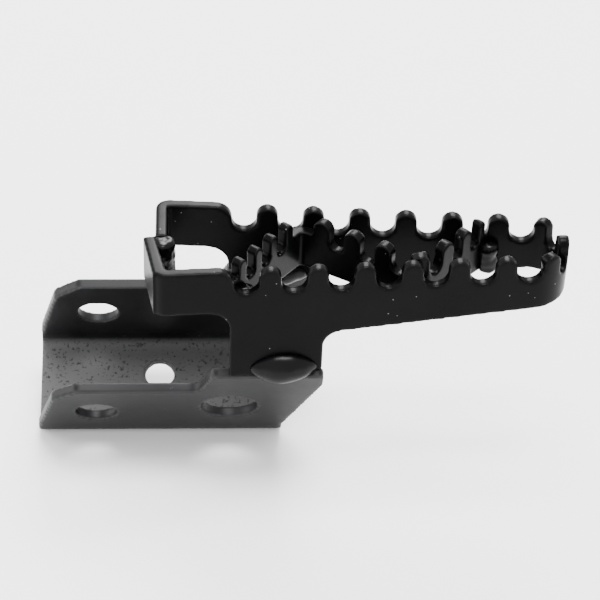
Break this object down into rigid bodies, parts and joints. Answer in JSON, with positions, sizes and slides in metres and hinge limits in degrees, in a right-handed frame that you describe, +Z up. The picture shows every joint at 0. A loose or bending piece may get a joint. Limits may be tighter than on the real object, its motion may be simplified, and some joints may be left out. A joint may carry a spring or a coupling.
{
  "type": "foot peg",
  "caption": "Folding motorcycle foot peg: a toothed loop tread with a zigzag inner strip, welded on a bent pivot bracket",
  "frame": {"origin": "centre of the pivot bore, midway between the two ears of the bracket", "axes": "+X outboard along the tread, +Y towards the rear wall of the tread, +Z up out of the tread, which is level; the pivot bore lies in the YZ plane, tilted up 26.3 degrees from +Y"},
  "size_m": [0.1382, 0.049, 0.0699],
  "materials": {
    "bracket_coat": "satin, finely speckled",
    "rail_coat": "semi-gloss powder coat",
    "strip_coat": "semi-gloss powder coat",
    "weld_coat": "gloss powder coat over weld bead"
  },
  "bodies": {
    "root": {"clevis_bracket": "bracket_coat", "tread_rail": "rail_coat", "inner_strip": "strip_coat", "front_leg_weld": "weld_coat", "rear_leg_weld": "weld_coat", "seam_weld": "weld_coat", "strip_end_weld": "weld_coat", "strip_root_weld": "weld_coat", "rear_apex_weld": "weld_coat", "front_apex_weld": "weld_coat"}
  },
  "joints": []
}
